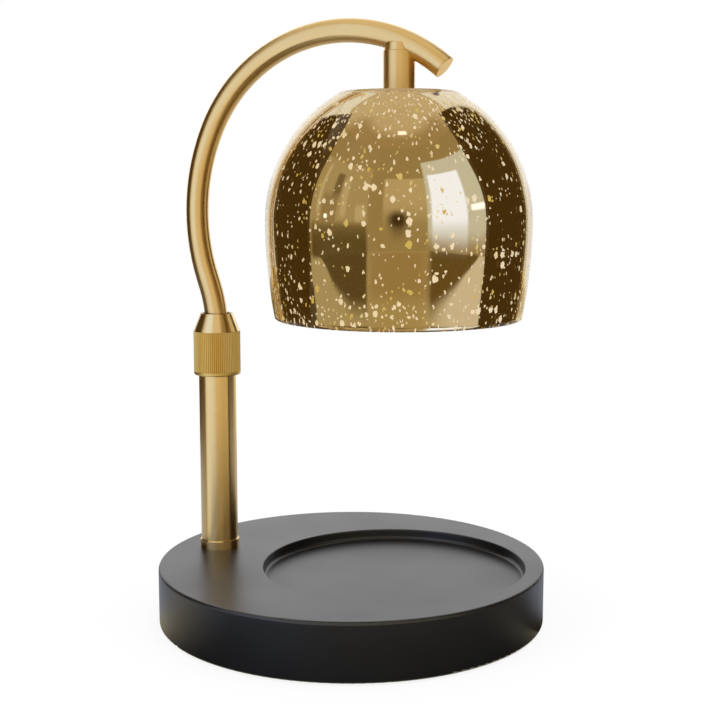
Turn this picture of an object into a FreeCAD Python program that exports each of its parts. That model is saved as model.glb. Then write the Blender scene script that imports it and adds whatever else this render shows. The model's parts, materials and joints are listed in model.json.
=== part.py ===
"""Candle warmer lamp: a round base with a candle seat, a telescoping pole and arm, and a hanging shade.

Millimetres, +Z up. The origin is the centre of the base on the surface that it stands on, the pole is
towards -X and the lamp hangs over +X. The arm is drawn in its lowest position, turned over the base.
Every piece is drawn about its own axis and put in place by its Placement, which follows the sheet.
"""
import FreeCAD, Part
import os
import re

import Sketcher

V = FreeCAD.Vector
doc = FreeCAD.newDocument("candle_warmer_lamp")
sheet = doc.addObject("Spreadsheet::Sheet", "Sizes")

SIZES = (
    # Base: a turned wooden disc with a shallow seat for the candle jar
    ("base_od", 160, "outer diameter of the base"),
    ("base_height", 24, "top of the base above the table"),
    ("base_round", 1.2, "rounding of the base's two outer edges"),
    ("seat_od", 108, "diameter of the candle seat"),
    ("seat_land", 7.1, "land between the seat and the base's edge on the lamp's side"),
    ("seat_depth", 4.5, "depth of the candle seat"),
    ("seat_round", 1.5, "rounding at the foot of the seat's wall"),
    ("seat_edge_round", 0.6, "rounding of the seat's upper edge"),
    ("pad_inset", 5, "non-slip pad's edge inside the base's edge"),
    ("pad_thickness", 1.6, "thickness of the non-slip pad"),
    ("pad_proud", 0.6, "how far the pad stands out below the base"),
    ("cavity_od", 28, "nut cavity under the pole"),
    ("cavity_roof", 12, "height of the nut cavity's roof above the table"),
    ("gland_height", 7.2, "height of the lead outlet's axis"),
    ("gland_od", 8, "barrel of the outlet gland"),
    ("gland_bore", 6.4, "hole through the outlet gland"),
    ("gland_flange_od", 11, "flange of the outlet gland"),
    ("gland_flange", 1.2, "thickness of the gland's flange"),
    ("gland_lip", 0.6, "snap lip and mouth chamfer of the gland"),
    ("gland_inset", 0.6, "how far the flange lies inside the base's edge"),
    # Threaded rod, washer and nut that hold the pole down
    ("rod_od", 10, "hollow threaded rod, also used in the stem"),
    ("rod_bore", 6.6, "bore of the threaded rod"),
    ("thread_gap", 0.05, "radial gap in a thread or a running fit"),
    ("slip_gap", 0.3, "gap between pieces that pass each other"),
    ("washer_od", 22, "washer under the base"),
    ("washer_thickness", 1.5, "thickness of that washer"),
    ("nut_flats", 14, "width across flats of both nuts"),
    ("base_nut_height", 5, "height of the nut under the base"),
    ("rod_stub", 1, "threaded rod showing past a nut"),
    ("rod_grip", 3, "threaded rod stops this far short of the foot plug's top"),
    # Pole
    ("pole_inset", 18.8, "pole's axis inside the base's edge"),
    ("pole_od", 15.7, "outer diameter of the pole"),
    ("pole_wall", 1.2, "wall of the pole"),
    ("pole_length", 74, "length of the pole's tube"),
    ("foot_od", 16.8, "flange of the pole's foot plug"),
    ("foot_height", 3.8, "height of that flange"),
    ("foot_spigot", 6, "foot plug's spigot inside the pole"),
    ("edge_break", 0.4, "small chamfer on turned metal edges"),
    # Collar, bush and split collet that lock the arm
    ("bush_thread_od", 15.2, "thread of the collar bush"),
    ("bush_thread_length", 9, "length of that thread above the pole"),
    ("collet_length", 7, "length of the split collet"),
    ("collet_foot_od", 14, "collet's diameter at its foot"),
    ("collet_head_od", 12, "collet's diameter at its head"),
    ("collet_slot", 1, "width of the collet's saw cuts"),
    ("collet_root", 2, "uncut length at the collet's foot"),
    ("collet_cuts", 4, "number of saw cuts"),
    ("collar_od", 19.8, "knurled diameter of the lock collar"),
    ("collar_skirt", 2.4, "collar's overlap below the top of the pole"),
    ("collar_barrel", 18.6, "length of the collar's straight barrel"),
    ("collar_cone", 7.5, "height of the collar's cone"),
    ("collar_nose_od", 13.6, "diameter of the cone's flat top"),
    ("mouth_od", 11.4, "hole in the cone's flat top"),
    ("knurl_band", 1.4, "plain band below the knurl"),
    ("knurl_count", 72, "number of knurl grooves"),
    ("knurl_depth", 0.32, "depth of a knurl groove"),
    ("knurl_width", 0.62, "width of a knurl groove at its mouth"),
    # Arm: one tube bent in tangent arcs
    ("arm_od", 9.5, "outer diameter of the arm's tube"),
    ("arm_wall", 1, "wall of the arm's tube"),
    ("arm_rise", 1.9, "arm's first bend above the collet's head"),
    ("kick_bend", 54.5, "radius of the bend away from the base"),
    ("kick_angle", 18, "turn of that bend, degrees"),
    ("kick_straight", 4.8, "straight run after it"),
    ("shoulder_bend", 84.5, "radius of the long bend up to the arch"),
    ("shoulder_angle", 43, "turn of that bend, degrees"),
    ("arch_bend", 64.6, "radius of the arch"),
    ("arch_angle", 105.1, "turn of the arch, degrees"),
    ("arm_travel", 50, "how far the arm can be raised"),
    ("plug_cap", 0.6, "thickness of the end plug's cap"),
    ("plug_spigot", 6, "length of the end plug's spigot"),
    ("seam_break", 0.1, "chamfer that shows the seam under the end plug's cap"),
    ("ferrule_flange", 2, "flange at the arm's lower end"),
    ("ferrule_spigot", 4, "ferrule's spigot inside the arm"),
    ("guide_length", 7, "length of the guide bush"),
    ("thrust_gap", 0.15, "end play on each side of the guide bush"),
    ("circlip_thickness", 0.8, "ring that keeps the guide bush on the arm"),
    ("circlip_width", 1.2, "radial width of that ring"),
    ("circlip_gap", 2, "opening of that ring"),
    # Stem under the arm
    ("lamp_reach", 81.5, "lamp's axis from the pole's axis"),
    ("stem_od", 12.7, "outer diameter of the stem"),
    ("stem_length", 15.2, "length of the stem on its far side"),
    ("neck_od", 12, "diameter of the neck at the stem"),
    ("neck_top_od", 11.2, "diameter of the neck at its top"),
    ("neck_rise", 3, "height of the neck above the stem"),
    ("neck_height", 4.2, "stem's top below the arm's centre line"),
    ("neck_spigot", 9, "neck's spigot inside the stem"),
    ("lead_hole", 6, "hole for the lead through neck and arm"),
    # Glass shade
    ("gasket_thickness", 0.6, "gaskets above and below the glass"),
    ("glass_wall", 2.5, "thickness of the glass"),
    ("shade_max_od", 106.6, "widest diameter of the shade"),
    ("shade_flat_od", 46.2, "edge of the shade's flat top before it is rounded"),
    ("shade_crown", 50.6, "flat top above the widest place"),
    ("shade_skirt", 37.8, "rim below the widest place"),
    ("shade_flank", 200, "radius of the shade's lower wall in section"),
    ("crown_round", 2, "rounding at the edge of the flat top"),
    ("disc_margin", 1.5, "disc that carries the glass, inside the edge of the glass's flat"),
    ("disc_thickness", 1.2, "thickness of that disc"),
    ("gasket_margin", 2, "lower gasket's edge inside the disc's edge"),
    # Lamp holder on its bracket
    ("strap", 1.2, "thickness of the bracket's strap"),
    ("strap_width", 12, "width of the bracket's strap"),
    ("strap_bend", 2, "outer radius of the bracket's bends"),
    ("stem_nut_height", 3.5, "height of the nut under the bracket"),
    ("holder_od", 28, "ceramic lamp holder's diameter"),
    ("holder_flats", 23, "width across the holder's flats"),
    ("holder_height", 18, "height of the lamp holder"),
    ("holder_drop", 2, "holder's top below the stem's threaded rod"),
    ("screw_od", 3, "screws that hold the lamp holder"),
    ("screw_drop", 5.3, "those screws below the holder's top"),
    ("screw_length", 5.5, "length of those screws under the head"),
    ("screw_head_od", 5.6, "diameter of their heads"),
    ("screw_head", 1.8, "height of their heads"),
    ("pin_pitch", 10, "distance between the bulb's pins"),
    ("pin_od", 2.3, "shank of a bulb pin"),
    ("pin_head_od", 5, "head of a bulb pin"),
    ("pin_head", 3, "height of that head"),
    ("slot_lip", 2, "lip that the pin heads hook over"),
    ("slot_depth", 9, "depth of the holder's slots"),
    ("twist_angle", 22, "turn that locks the bulb, degrees"),
    ("clip_thickness", 0.6, "thickness of the contact clips"),
    # Bulb: reflector lamp with a twist-lock cap
    ("bulb_od", 50, "diameter of the bulb's face"),
    ("bulb_height", 46, "height of the bulb without its pins"),
    ("cap_od", 25, "diameter of the bulb's cap"),
    ("cap_height", 11, "height of the bulb's cap"),
    ("reflector_wall", 1.4, "wall of the bulb's reflector"),
    ("reflector_bow", 52, "radius of the reflector's flank in section"),
    ("bulb_rim", 2.4, "height of the reflector's rim"),
    ("lens_thickness", 1.6, "thickness of the front lens"),
    ("capsule_od", 8.4, "halogen capsule in the reflector"),
    ("capsule_height", 17, "height of that capsule"),
    # Lead inside the tubes
    ("lead_od", 3.2, "lead held inside stem, arm and pole"),
    ("lead_bend", 8, "lead's bend from the arm into the stem"),
    ("lead_tail", 2.5, "lead's end below the nut under the base"),
)

for row, (alias, value, meaning) in enumerate(SIZES, start=1):
    sheet.set(f"A{row}", meaning)
    sheet.set(f"B{row}", str(value))
    sheet.setAlias(f"B{row}", alias)
doc.recompute()

ALIAS = re.compile(r"\b(" + "|".join(alias for alias, _, _ in SIZES) + r")\b")


def bound(text):
    """The text as an expression of the document, with each size read from the sheet."""
    return ALIAS.sub(r"Sizes.\1", str(text))


def value_of(text):
    """The number that an expression gives now."""
    return float(sheet.evalExpression(bound(text)))


def place(piece, x="0", y="0", z="0"):
    """Moves a finished piece to its place, which follows the sheet."""
    for axis, text in zip("xyz", (x, y, z)):
        if text != "0":
            piece.setExpression(f"Placement.Base.{axis}", bound(text))
    return piece


def new_body(label):
    body = doc.addObject("PartDesign::Body", label)
    body.Label = label
    return body


def new_sketch(body, plane, offset="0"):
    """A sketch on one of the body's own origin planes, moved along that plane's normal by offset."""
    sketch = body.newObject("Sketcher::SketchObject", f"{body.Name}_{plane[:2]}_sketch")
    support = next(f for f in body.Origin.OriginFeatures if f.Role == plane)
    sketch.AttachmentSupport = (support, [""])
    sketch.MapMode = "FlatFace"
    if offset != "0":
        sketch.setExpression("AttachmentOffset.Base.z", bound(offset))
    return sketch


def pin_point(sketch, geometry, end, x, y):
    """Ties one end of a line or an arc to the place (x, y), given as expressions."""
    for kind, text in (("DistanceX", x), ("DistanceY", y)):
        number = sketch.addConstraint(Sketcher.Constraint(kind, -1, 1, geometry, end, value_of(text)))
        sketch.setExpression(f"Constraints[{number}]", bound(text))


def draw(sketch, corners, closed=True):
    """Draws an outline through the corners (x, y) or (x, y, radius, side).

    A corner with a radius starts an arc to the next corner. Side is 1 where the arc turns left, as seen
    along the outline, and -1 where it turns right. Every arc is under half a turn.
    """
    count = len(corners)
    for number in range(count if closed else count - 1):
        corner, after = corners[number], corners[(number + 1) % count]
        start = V(value_of(corner[0]), value_of(corner[1]), 0)
        end = V(value_of(after[0]), value_of(after[1]), 0)
        first, last = 1, 2
        if len(corner) == 2:
            geometry = sketch.addGeometry(Part.LineSegment(start, end), False)
        else:
            size, side = value_of(corner[2]), corner[3]
            chord = end - start
            across = V(-chord.y, chord.x, 0).normalize()
            bulge = max(size ** 2 - (chord.Length / 2) ** 2, 0) ** 0.5
            centre = (start + end) / 2 + across * bulge * side
            if side < 0:
                start, end, first, last = end, start, 2, 1
            turn = [(point - centre) for point in (start, end)]
            angles = [V(1, 0, 0).getAngle(t) * (1 if t.y >= 0 else -1) for t in turn]
            arc = Part.ArcOfCircle(Part.Circle(centre, V(0, 0, 1), size), *angles)
            geometry = sketch.addGeometry(arc, False)
            held = sketch.addConstraint(Sketcher.Constraint("Radius", geometry, size))
            sketch.setExpression(f"Constraints[{held}]", bound(corner[2]))
        pin_point(sketch, geometry, first, corner[0], corner[1])
        pin_point(sketch, geometry, last, after[0], after[1])
    return sketch


def draw_circle(sketch, radius, x="0", y="0"):
    circle = Part.Circle(V(value_of(x), value_of(y), 0), V(0, 0, 1), value_of(radius))
    geometry = sketch.addGeometry(circle, False)
    held = sketch.addConstraint(Sketcher.Constraint("Radius", geometry, value_of(radius)))
    sketch.setExpression(f"Constraints[{held}]", bound(radius))
    pin_point(sketch, geometry, 3, x, y)
    return sketch


def turned(label, outline):
    """A piece turned about its own Z axis from the outline (radius, height)."""
    body = new_body(label)
    profile = draw(new_sketch(body, "XZ_Plane"), outline)
    feature = body.newObject("PartDesign::Revolution", f"{label}_turned")
    feature.Profile = profile
    feature.ReferenceAxis = (profile, ["V_Axis"])
    feature.Angle = 360
    return body


def ring(label, outer, inner, height, chamfer="0"):
    """A washer or tube with the same small chamfer on its outer edges."""
    if chamfer == "0":
        return turned(label, [(inner, "0"), (outer, "0"), (outer, height), (inner, height)])
    return turned(label, [
        (inner, "0"), (f"{outer} - {chamfer}", "0"), (outer, chamfer),
        (outer, f"{height} - {chamfer}"), (f"{outer} - {chamfer}", height), (inner, height)])


def padded(body, sketch, length, both_ways=False):
    feature = body.newObject("PartDesign::Pad", f"{sketch.Name}_pad")
    feature.Profile = sketch
    feature.Midplane = both_ways
    feature.setExpression("Length", bound(length))
    return feature


def cut(body, sketch, depth=None, along_normal=False, both_ways=False):
    """Cuts the sketch out of the body: to a depth, or right through where none is given."""
    doc.recompute()
    before = body.Shape.Volume
    feature = body.newObject("PartDesign::Pocket", f"{sketch.Name}_cut")
    feature.Profile = sketch
    feature.Reversed = along_normal
    feature.Midplane = both_ways
    if depth is None:
        feature.Type = "ThroughAll"
    else:
        feature.setExpression("Length", bound(depth))
    doc.recompute()
    if body.Shape.Volume >= before:
        raise RuntimeError(f"{feature.Name} cuts nothing")
    return feature


def repeat_round(body, feature, count):
    """Repeats a cut or a pad evenly round the body's Z axis."""
    pattern = body.newObject("PartDesign::PolarPattern", f"{feature.Name}_round")
    pattern.Originals = [feature]
    pattern.Axis = (next(f for f in body.Origin.OriginFeatures if f.Role == "Z_Axis"), [""])
    pattern.Angle = 360
    pattern.setExpression("Occurrences", bound(count))
    body.Tip = pattern
    return pattern


def round_edges(body, radius, chosen):
    """Rounds the edges of the body that the test chosen(edge) picks."""
    doc.recompute()
    base = body.Tip
    names = [f"Edge{n}" for n, edge in enumerate(base.Shape.Edges, start=1) if chosen(edge)]
    feature = body.newObject("PartDesign::Fillet", f"{base.Name}_rounded")
    feature.Base = (base, names)
    feature.setExpression("Radius", bound(radius))
    return feature


def circle_at(height, radius):
    """A test for round edges of that radius at that height."""
    def test(edge):
        curve = edge.Curve
        return (isinstance(curve, Part.Circle) and abs(curve.Radius - value_of(radius)) < SAME
                and abs(edge.BoundBox.ZMax - value_of(height)) < SAME
                and abs(edge.BoundBox.ZMin - value_of(height)) < SAME)
    return test


class Route:
    """A path in the XZ plane of straight runs and tangent arcs, kept as expressions of the sheet."""

    def __init__(self):
        self.x, self.z, self.heading = "0", "0", "90"
        self.corners = [["0", "0"]]

    def straight(self, length):
        self.x += f" + ({length}) * cos(({self.heading}) * 1 deg)"
        self.z += f" + ({length}) * sin(({self.heading}) * 1 deg)"
        self.corners.append([self.x, self.z])
        return self

    def bend(self, radius, turn, side):
        """Side is 1 to the left and -1 to the right of the way that the path runs."""
        after = f"{self.heading} + {side} * ({turn})"
        old, new = f"({self.heading}) * 1 deg", f"({after}) * 1 deg"
        self.corners[-1] += [radius, side]
        self.x += f" + {side} * ({radius}) * (sin({new}) - sin({old}))"
        self.z += f" + {side} * ({radius}) * (cos({old}) - cos({new}))"
        self.heading = after
        self.corners.append([self.x, self.z])
        return self


def tube_along(label, route, outer, inner=None):
    """A round tube, or a solid bar without inner, along a route that starts upwards at its origin."""
    body = new_body(label)
    spine = draw(new_sketch(body, "XZ_Plane"), route.corners, closed=False)
    section = draw_circle(new_sketch(body, "XY_Plane"), outer)
    if inner:
        draw_circle(section, inner)
    doc.recompute()
    feature = body.newObject("PartDesign::AdditivePipe", f"{label}_pipe")
    feature.Profile = section
    feature.Spine = spine
    return body


def hexagon(flats):
    """Corners of a hexagon with that width across its flats."""
    across = f"({flats}) / sqrt(3)"
    return [(f"{across} * cos({60 * n} deg)", f"{across} * sin({60 * n} deg)") for n in range(6)]


def nut(label, height):
    body = new_body(label)
    sketch = draw(new_sketch(body, "XY_Plane"), hexagon("nut_flats"))
    draw_circle(sketch, "rod_od / 2 + thread_gap")
    padded(body, sketch, height)
    return body


def kidney(sketch, half_width):
    """A slot bent round the Z axis, from the locked pin's place back through the twist."""
    pitch, half = "(pin_pitch / 2)", f"({half_width})"
    out, back = f"({pitch} + {half})", f"({pitch} - {half})"
    cosine, sine = "cos(twist_angle * 1 deg)", "sin(twist_angle * 1 deg)"
    return draw(sketch, [
        (f"{out} * {cosine}", f"-{out} * {sine}", out, 1), (out, "0", half, 1),
        (pitch, half, half, 1), (back, "0", back, -1),
        (f"{back} * {cosine}", f"-{back} * {sine}", half, 1),
        (f"{pitch} * {cosine} - {half} * {sine}", f"-{pitch} * {sine} - {half} * {cosine}", half, 1)])


def pair(label, first, second):
    """Two like solids that share one name."""
    both = doc.addObject("Part::Compound", label)
    both.Label = label
    both.Links = [first, second]
    return both


LIP_BOW = 0.6     # radius of the bowed rim as a share of the rim's width
SAME = 0.01       # edges are found by their place to within this, in millimetres

# Heights and places that the pieces share, all worked out from the sheet
POLE_X = "(pole_inset - base_od / 2)"
LAMP_X = f"({POLE_X} + lamp_reach)"
SEAT_X = "(base_od / 2 - seat_land - seat_od / 2)"
PAD_R = "(base_od / 2 - pad_inset)"
POLE_BORE = "(pole_od / 2 - pole_wall)"
ARM_R = "(arm_od / 2)"
ARM_BORE = "(arm_od / 2 - arm_wall)"
ROD_HOLE = "(rod_od / 2 + thread_gap)"
FOOT_TOP = "(base_height + foot_height)"
SPIGOT_TOP = f"({FOOT_TOP} + foot_spigot)"
POLE_TOP = f"({FOOT_TOP} + pole_length)"
BUSH_TOP = f"({POLE_TOP} + bush_thread_length)"
COLLET_FOOT = f"({BUSH_TOP} + slip_gap)"
COLLET_TOP = f"({COLLET_FOOT} + collet_length)"
COLLAR_FOOT = f"({POLE_TOP} - collar_skirt)"
FERRULE_FOOT = f"({SPIGOT_TOP} + slip_gap)"
ARM_FOOT = f"({FERRULE_FOOT} + ferrule_flange)"
GUIDE_FOOT = f"({ARM_FOOT} + thrust_gap)"
CIRCLIP_FOOT = f"({GUIDE_FOOT} + guide_length + thrust_gap)"
STOP = f"({CIRCLIP_FOOT} + circlip_thickness + arm_travel + slip_gap)"
ARM_RUN = f"({COLLET_TOP} + arm_rise - {ARM_FOOT})"


def route_to_arch(first_run):
    """Straight up through collet and collar, a kick away from the base, and up to the arch."""
    route = Route().straight(first_run).bend("kick_bend", "kick_angle", 1).straight("kick_straight")
    return route.bend("shoulder_bend", "shoulder_angle", -1)


arm_route = route_to_arch(ARM_RUN)
ARCH_HEADING = f"({arm_route.heading}) * 1 deg"
ARCH_X = f"({arm_route.x} + arch_bend * sin({ARCH_HEADING}))"
ARCH_Z = f"({arm_route.z} - arch_bend * cos({ARCH_HEADING}))"
arm_route.bend("arch_bend", "arch_angle", -1)
LAMP_FROM_ARCH = f"(lamp_reach - {ARCH_X})"
ARM_OVER_LAMP = f"({ARM_FOOT} + {ARCH_Z} + sqrt(pow(arch_bend; 2) - pow({LAMP_FROM_ARCH}; 2)))"

STEM_TOP = f"({ARM_OVER_LAMP} - neck_height)"
STEM_FOOT = f"({STEM_TOP} - stem_length)"
GLASS_TOP = f"({STEM_FOOT} - gasket_thickness)"
GLASS_UNDER = f"({GLASS_TOP} - glass_wall)"
DISC_TOP = f"({GLASS_UNDER} - gasket_thickness)"
STRAP_TOP = f"({DISC_TOP} - disc_thickness)"
STEM_NUT_TOP = f"({STRAP_TOP} - strap)"
STEM_ROD_FOOT = f"({STEM_NUT_TOP} - stem_nut_height - rod_stub)"
HOLDER_TOP = f"({STEM_ROD_FOOT} - holder_drop)"
HOLDER_FOOT = f"({HOLDER_TOP} - holder_height)"
BULB_TOP = f"({HOLDER_FOOT} - slip_gap)"
BULB_FOOT = f"({BULB_TOP} - bulb_height)"
SCREW_Z = f"({HOLDER_TOP} - screw_drop)"
# The shade's shoulder is an arc from its widest place, where it is upright, to the edge of its flat top
SHOULDER = "((shade_max_od - shade_flat_od) / 2)"
DOME = f"((pow({SHOULDER}; 2) + pow(shade_crown; 2)) / (2 * {SHOULDER}))"
INNER_DOME = f"({DOME} - glass_wall)"
FLAT_UNDER = f"(shade_max_od / 2 - {DOME} + sqrt(pow({INNER_DOME}; 2) - pow(shade_crown - glass_wall; 2)))"
BASE_NUT_FOOT = "(cavity_roof - washer_thickness - base_nut_height)"
ROD_FOOT = f"({BASE_NUT_FOOT} - rod_stub)"
LEAD_FOOT = f"({ROD_FOOT} - lead_tail)"


def base_disc():
    """The wooden base: candle seat on top, pad recess and nut cavity below, outlet towards the back."""
    edge, low, high = "(base_od / 2)", "pad_proud", "base_height"
    body = turned("base_disc", [
        ("0", low), (f"{edge} - base_round", low, "base_round", 1), (edge, f"{low} + base_round"),
        (edge, f"{high} - base_round", "base_round", 1), (f"{edge} - base_round", high), ("0", high)])
    seat = "(seat_od / 2)"
    cut(body, draw_circle(new_sketch(body, "XY_Plane", high), seat, SEAT_X), "seat_depth")
    round_edges(body, "seat_round", circle_at("base_height - seat_depth", seat))
    round_edges(body, "seat_edge_round", circle_at("base_height", seat))
    doc.recompute()
    recess = draw_circle(new_sketch(body, "XY_Plane", low), f"{PAD_R} + slip_gap")
    cut(body, recess, "pad_thickness - pad_proud", along_normal=True)
    cavity = draw_circle(new_sketch(body, "XY_Plane", low), "cavity_od / 2", POLE_X)
    cut(body, cavity, "cavity_roof - pad_proud", along_normal=True)
    cut(body, draw_circle(new_sketch(body, "XY_Plane"), ROD_HOLE, POLE_X), along_normal=True)
    barrel = draw_circle(new_sketch(body, "YZ_Plane", POLE_X), "gland_od / 2", "0", "gland_height")
    cut(body, barrel)
    face = f"-{edge} + gland_inset + gland_flange"
    flange = new_sketch(body, "YZ_Plane", face)
    cut(body, draw_circle(flange, "gland_flange_od / 2 + slip_gap", "0", "gland_height"))
    return body


def cord_gland():
    """Nylon gland: its flange lies in the base's edge, its barrel snaps into the nut cavity."""
    bore, barrel, lip = "(gland_bore / 2)", "(gland_od / 2)", "(gland_od / 2 + gland_lip)"
    cavity = f"sqrt(pow(cavity_od / 2; 2) - pow({lip}; 2))"
    reach = f"(pole_inset - gland_inset - {cavity})"
    body = turned("cord_gland", [
        (f"{bore} + gland_lip", "0"), ("gland_flange_od / 2", "0"), ("gland_flange_od / 2", "gland_flange"),
        (barrel, "gland_flange"), (barrel, reach), (lip, reach),
        (barrel, f"{reach} + gland_flange"), (bore, f"{reach} + gland_flange"), (bore, "gland_lip")])
    body.Placement = FreeCAD.Placement(V(0, 0, 0), FreeCAD.Rotation(V(0, 1, 0), 90))
    return place(body, "gland_inset - base_od / 2", "0", "gland_height")


def pole_foot():
    """Turned foot plug: a flange on the base, a spigot in the pole and a threaded hole for the rod."""
    flange, spigot = "(foot_od / 2)", POLE_BORE
    body = turned("pole_foot", [
        (ROD_HOLE, "0"), (flange, "0"), (flange, "foot_height - edge_break"),
        (f"{flange} - edge_break", "foot_height"), (spigot, "foot_height"),
        (spigot, "foot_height + foot_spigot - edge_break"),
        (f"{spigot} - edge_break", "foot_height + foot_spigot"), (ROD_HOLE, "foot_height + foot_spigot")])
    return place(body, POLE_X, "0", "base_height")


def base_fixings():
    """The hollow threaded rod, washer and nut that draw the foot plug down on the base."""
    place(ring("nipple_washer", "washer_od / 2", ROD_HOLE, "washer_thickness"),
          POLE_X, "0", "cavity_roof - washer_thickness")
    place(nut("nipple_nut", "base_nut_height"), POLE_X, "0", BASE_NUT_FOOT)
    rod = ring("base_nipple", "rod_od / 2", "rod_bore / 2", f"({SPIGOT_TOP} - rod_grip - {ROD_FOOT})",
               "edge_break")
    place(rod, POLE_X, "0", ROD_FOOT)


def collar_bush():
    """Threaded bush in the pole's top. Its spigot's end is the stop for the raised arm."""
    spigot, thread, bore = POLE_BORE, "(bush_thread_od / 2)", f"({ARM_R} + slip_gap)"
    foot = f"({STOP} - {POLE_TOP})"
    body = turned("collar_bush", [
        (bore, foot), (spigot, foot), (spigot, "0"), (thread, "0"),
        (thread, "bush_thread_length - edge_break"), (f"{thread} - edge_break", "bush_thread_length"),
        (bore, "bush_thread_length")])
    return place(body, POLE_X, "0", POLE_TOP)


def split_collet():
    """Tapered brass collet, saw-cut from its head, which the collar squeezes on the arm."""
    bore, foot, head = f"({ARM_R} + thread_gap)", "(collet_foot_od / 2)", "(collet_head_od / 2)"
    body = turned("split_collet", [
        (bore, "0"), (foot, "0"), (foot, "edge_break"), (head, "collet_length"), (bore, "collet_length")])
    saw = draw(new_sketch(body, "XZ_Plane"), [
        ("0", "collet_root"), ("collet_foot_od", "collet_root"),
        ("collet_foot_od", "2 * collet_length"), ("0", "2 * collet_length")])
    slot = cut(body, saw, "collet_slot", both_ways=True)
    repeat_round(body, slot, "collet_cuts")
    return place(body, POLE_X, "0", COLLET_FOOT)


def lock_collar():
    """Knurled collar: skirt round the pole, thread on the bush, cone on the collet, open nose."""
    outer, nose, skirt = "(collar_od / 2)", "(collar_nose_od / 2)", "(pole_od / 2 + slip_gap)"
    thread = "(bush_thread_od / 2 + thread_gap)"
    shoulder = "(collar_skirt + slip_gap)"
    cone_foot, cone_head = f"({COLLET_FOOT} - {COLLAR_FOOT})", f"({COLLET_TOP} - {COLLAR_FOOT})"
    squeeze = "2 * thread_gap"
    top = "(collar_barrel + collar_cone)"
    body = turned("lock_collar", [
        (skirt, "0"), (f"{outer} - edge_break", "0"), (outer, "edge_break"), (outer, "collar_barrel"),
        (nose, top), ("mouth_od / 2", top), ("mouth_od / 2", f"{cone_head} + {squeeze}"),
        (f"collet_head_od / 2 + {squeeze}", f"{cone_head} + {squeeze}"),
        (f"collet_foot_od / 2 + {squeeze}", f"{cone_foot} + edge_break"), (thread, f"{cone_foot}"),
        (thread, shoulder), (skirt, shoulder)])
    doc.recompute()
    knurl = draw(new_sketch(body, "XY_Plane", "knurl_band"), [
        (f"{outer} - knurl_depth", "0"), (f"{outer} + knurl_depth", "-knurl_width"),
        (f"{outer} + knurl_depth", "knurl_width")])
    groove = cut(body, knurl, "collar_barrel - knurl_band", along_normal=True)
    repeat_round(body, groove, "knurl_count")
    return place(body, POLE_X, "0", COLLAR_FOOT)


def arm_tube():
    """The bent arm, with the hole for the lead over the stem."""
    body = tube_along("arm_tube", arm_route, ARM_R, ARM_BORE)
    doc.recompute()
    centre = f"({ARCH_Z} + sqrt(pow(arch_bend; 2) - pow({LAMP_FROM_ARCH}; 2)))"
    hole = draw_circle(new_sketch(body, "XY_Plane", centre), "lead_hole / 2", "lamp_reach")
    cut(body, hole)
    return place(body, POLE_X, "0", ARM_FOOT)


def arm_end_plug():
    """Flat plug whose cap ends the arm. Its straight spigot has room in the bent tube."""
    spigot = f"({ARM_BORE} - slip_gap)"
    body = turned("arm_end_plug", [
        ("0", "-plug_spigot"), (f"{spigot} - edge_break", "-plug_spigot"),
        (spigot, "edge_break - plug_spigot"), (spigot, "0"), (f"{ARM_R} - seam_break", "0"),
        (ARM_R, "seam_break"), (ARM_R, "plug_cap - seam_break"), (f"{ARM_R} - seam_break", "plug_cap"),
        ("0", "plug_cap")])
    body.Placement = FreeCAD.Placement(V(0, 0, 0), FreeCAD.Rotation(V(0, 1, 0), 90))
    body.setExpression("Placement.Rotation.Angle", bound(f"(90 - ({arm_route.heading})) * 1 deg"))
    return place(body, f"{POLE_X} + {arm_route.x}", "0", f"{ARM_FOOT} + {arm_route.z}")


def arm_guide():
    """The end ferrule, guide bush and ring at the arm's lower end, inside the pole."""
    flange, lead_way = f"({POLE_BORE} - slip_gap)", "(lead_hole / 2)"
    ferrule = turned("arm_end_ferrule", [
        (lead_way, "-ferrule_flange"), (flange, "-ferrule_flange"), (flange, "0"), (ARM_BORE, "0"),
        (ARM_BORE, "ferrule_spigot"), (lead_way, "ferrule_spigot")])
    place(ferrule, POLE_X, "0", ARM_FOOT)
    bush = ring("guide_bush", f"{POLE_BORE} - thread_gap", f"({ARM_R} + thread_gap)", "guide_length",
                "edge_break")
    place(bush, POLE_X, "0", GUIDE_FOOT)
    clip = turned("guide_circlip", [
        (ARM_R, "0"), (f"{ARM_R} + circlip_width", "0"), (f"{ARM_R} + circlip_width", "circlip_thickness"),
        (ARM_R, "circlip_thickness")])
    gap = draw(new_sketch(clip, "XZ_Plane"), [
        ("0", "-circlip_thickness"), ("pole_od", "-circlip_thickness"), ("pole_od", "2 * circlip_thickness"),
        ("0", "2 * circlip_thickness")])
    cut(clip, gap, "circlip_gap", both_ways=True)
    place(clip, POLE_X, "0", CIRCLIP_FOOT)


def arm_envelope():
    """The space that the arm's tube fills, which saddles the pieces welded under it."""
    body = tube_along("arm_envelope", arm_route, ARM_R)
    return place(body, POLE_X, "0", ARM_FOOT)


def saddled(label, blank, envelope):
    """The blank with the arm's tube cut out of its top, kept to the side below the arm."""
    saddle = doc.addObject("Part::Cut", label)
    saddle.Label = label
    saddle.Base, saddle.Tool = blank, envelope
    return saddle


def stem(envelope):
    """The stem's sleeve and, inside its top, the narrower neck welded to the arm."""
    sleeve = ring("stem_blank", "stem_od / 2", ROD_HOLE, "stem_length", "edge_break")
    saddled("stem_tube", place(sleeve, LAMP_X, "0", STEM_FOOT), envelope)
    spigot, rise = ROD_HOLE, "neck_rise"
    neck = turned("neck_blank", [
        ("lead_hole / 2", "-neck_spigot"), (spigot, "-neck_spigot"), (spigot, "0"), ("neck_od / 2", "0"),
        ("neck_top_od / 2", rise), ("lead_hole / 2", rise)])
    place(neck, LAMP_X, "0", STEM_TOP)
    saddled("stem_neck", neck, envelope)


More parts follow.
